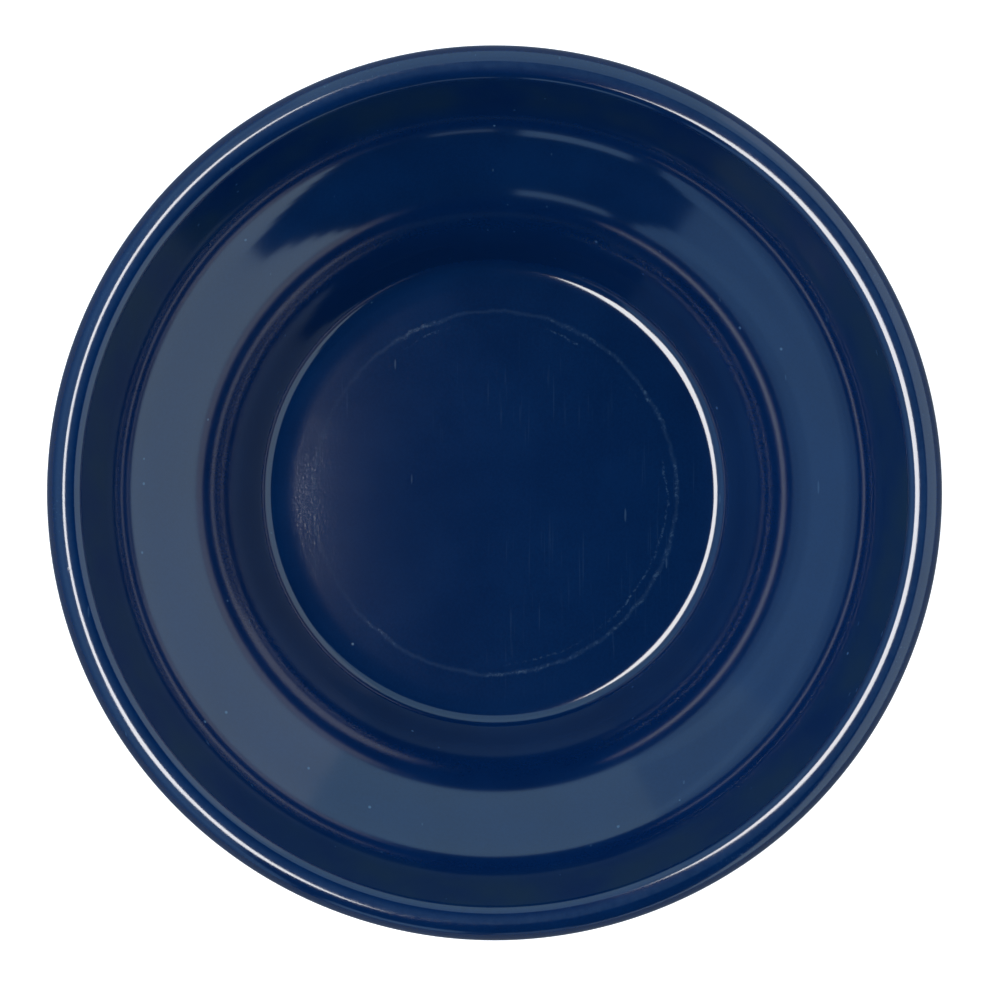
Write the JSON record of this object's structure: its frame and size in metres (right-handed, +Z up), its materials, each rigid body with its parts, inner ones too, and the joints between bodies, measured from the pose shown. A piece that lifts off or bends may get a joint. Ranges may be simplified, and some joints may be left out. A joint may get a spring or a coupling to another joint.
{
  "type": "bowl",
  "caption": "Round moulded bowl in one piece: well, sloping shoulder, steep upper wall, rolled rim bead and foot ring.",
  "frame": {"origin": "centre of the circle that the foot ring stands on, at the table", "axes": "+Z up along the axis that the bowl is turned about; X and Y are free, because the bowl is round"},
  "size_m": [0.13, 0.13, 0.038],
  "materials": {
    "melamine": "glossy navy blue, finely grained on the floor of the well"
  },
  "bodies": {
    "root": {"bowl": "melamine"}
  },
  "joints": []
}
